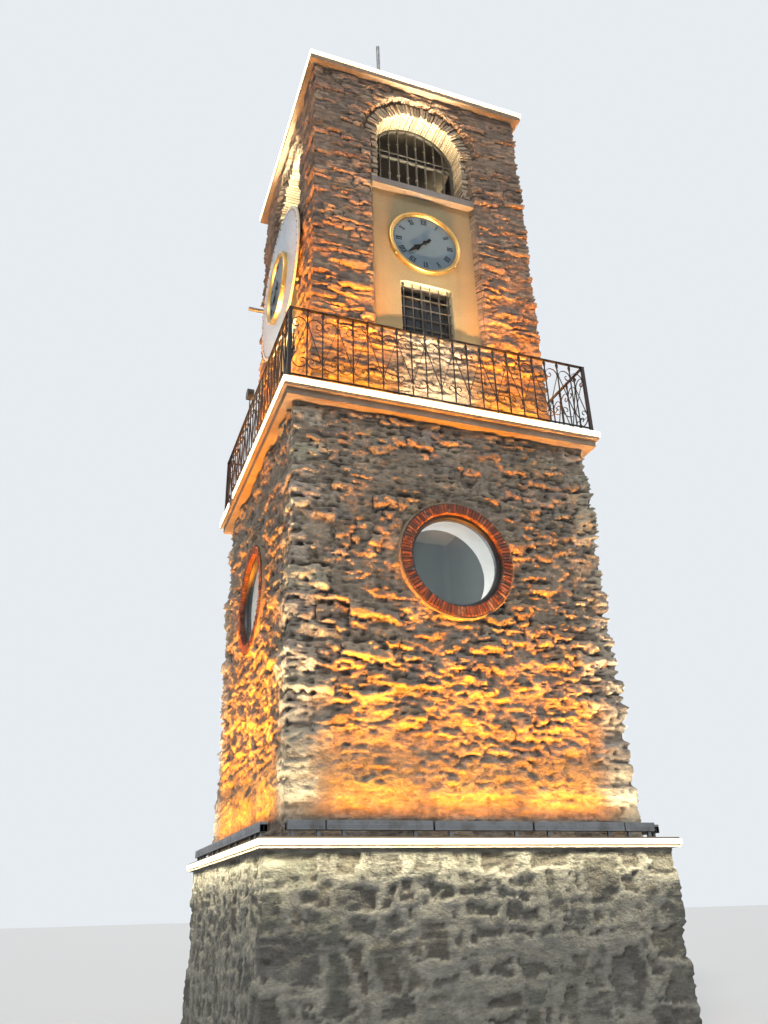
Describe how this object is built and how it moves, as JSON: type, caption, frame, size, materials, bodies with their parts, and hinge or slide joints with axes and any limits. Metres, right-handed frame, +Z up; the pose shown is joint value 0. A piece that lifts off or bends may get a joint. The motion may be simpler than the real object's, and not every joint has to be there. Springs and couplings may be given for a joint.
{
  "type": "clock tower",
  "caption": "Square stone clock tower on a plinth, with round windows, a railed balcony, clocks with turning hands, arched belfry openings, light strips and a roof pole",
  "frame": {"origin": "ground level in the middle of the square plinth", "axes": "+Z up, the front with the full clock view faces -Y, +X to the viewer's right"},
  "size_m": [4.19, 4.19, 15.703],
  "materials": {
    "base_rubble": "dark rubble stones in wide smeared pale mortar",
    "rubble_stone": "rough coursed schist rubble with deep joints",
    "thin_stone": "thin reddish-brown stone courses, rough face",
    "concrete": "weathered cast concrete",
    "sill_stone": "smooth grey stone sill",
    "red_brick": "red clay brick with pale mortar joints",
    "arch_brick": "thin pale brown bricks with open joints",
    "light_strip": "milky diffuser, lit warm white",
    "pole_steel": "weathered galvanised steel",
    "dark_iron": "dark painted wrought iron with rust at the joints",
    "window_frame": "dark painted metal",
    "glass": "clear window glass",
    "clock_gold": "gold-coloured satin ring",
    "dial_enamel": "pale blue-grey dial with black numerals",
    "disc_paint": "pale blue-grey painted sheet metal",
    "hand_black": "black painted metal",
    "lamp_black": "black lamp housing",
    "washer_aluminium": "grey anodised profile"
  },
  "bodies": {
    "root": {"base_masonry": "base_rubble", "base_ledge": "concrete", "ledge_light_strip": "light_strip", "balcony_slab": "concrete", "balcony_light_strip": "light_strip", "roof_slab": "concrete", "roof_light_strip": "light_strip", "roof_pole": "pole_steel", "belfry_floor": "concrete", "belfry_sills": "sill_stone", "belfry_grilles": "dark_iron", "window_frames": "window_frame", "window_glass": "glass", "oculus_brick_rings": "red_brick", "oculus_frames": "window_frame", "oculus_glass": "glass", "clock_cases": "clock_gold", "clock_dials": "dial_enamel", "left_clock_disc": "disc_paint", "left_pipe_stub": "pole_steel", "rail_floodlight": "lamp_black", "wall_washers": "washer_aluminium", "balcony_washers": "washer_aluminium", "belfry_lamps": "washer_aluminium", "front_lower_wall": "rubble_stone", "front_upper_wall": "thin_stone", "front_railing": "dark_iron", "front_belfry_arch": "arch_brick", "right_lower_wall": "rubble_stone", "right_upper_wall": "thin_stone", "right_railing": "dark_iron", "right_belfry_arch": "arch_brick", "back_lower_wall": "rubble_stone", "back_upper_wall": "thin_stone", "back_railing": "dark_iron", "back_belfry_arch": "arch_brick", "left_lower_wall": "rubble_stone", "left_upper_wall": "thin_stone", "left_railing": "dark_iron", "left_belfry_arch": "arch_brick"},
    "front_minute_hand": {"front_minute_hand": "hand_black"},
    "front_hour_hand": {"front_hour_hand": "hand_black"},
    "right_minute_hand": {"right_minute_hand": "hand_black"},
    "right_hour_hand": {"right_hour_hand": "hand_black"},
    "back_minute_hand": {"back_minute_hand": "hand_black"},
    "back_hour_hand": {"back_hour_hand": "hand_black"},
    "left_minute_hand": {"left_minute_hand": "hand_black"},
    "left_hour_hand": {"left_hour_hand": "hand_black"}
  },
  "joints": [
    {"name": "front_minute_turn", "type": "hinge", "parent": "root", "child": "front_minute_hand", "pos_m": [0, -1.475, 9.67], "axis": [0, 1, 0], "continuous": true},
    {"name": "front_hour_turn", "type": "hinge", "parent": "root", "child": "front_hour_hand", "pos_m": [0, -1.475, 9.67], "axis": [0, 1, 0], "continuous": true},
    {"name": "right_minute_turn", "type": "hinge", "parent": "root", "child": "right_minute_hand", "pos_m": [1.475, 0, 9.67], "axis": [-1, 0, 0], "continuous": true},
    {"name": "right_hour_turn", "type": "hinge", "parent": "root", "child": "right_hour_hand", "pos_m": [1.475, 0, 9.67], "axis": [-1, 0, 0], "continuous": true},
    {"name": "back_minute_turn", "type": "hinge", "parent": "root", "child": "back_minute_hand", "pos_m": [0, 1.475, 9.67], "axis": [0, -1, 0], "continuous": true},
    {"name": "back_hour_turn", "type": "hinge", "parent": "root", "child": "back_hour_hand", "pos_m": [0, 1.475, 9.67], "axis": [0, -1, 0], "continuous": true},
    {"name": "left_minute_turn", "type": "hinge", "parent": "root", "child": "left_minute_hand", "pos_m": [-1.655, 0, 9.67], "axis": [1, 0, 0], "continuous": true},
    {"name": "left_hour_turn", "type": "hinge", "parent": "root", "child": "left_hour_hand", "pos_m": [-1.655, 0, 9.67], "axis": [1, 0, 0], "continuous": true}
  ],
  "couplings": [
    {"joint": "front_hour_turn", "follows": "front_minute_turn", "ratio": 0.083333},
    {"joint": "right_minute_turn", "follows": "front_minute_turn", "ratio": 1},
    {"joint": "right_hour_turn", "follows": "front_minute_turn", "ratio": 0.083333},
    {"joint": "back_minute_turn", "follows": "front_minute_turn", "ratio": 1},
    {"joint": "back_hour_turn", "follows": "front_minute_turn", "ratio": 0.083333},
    {"joint": "left_minute_turn", "follows": "front_minute_turn", "ratio": 1},
    {"joint": "left_hour_turn", "follows": "front_minute_turn", "ratio": 0.083333}
  ]
}
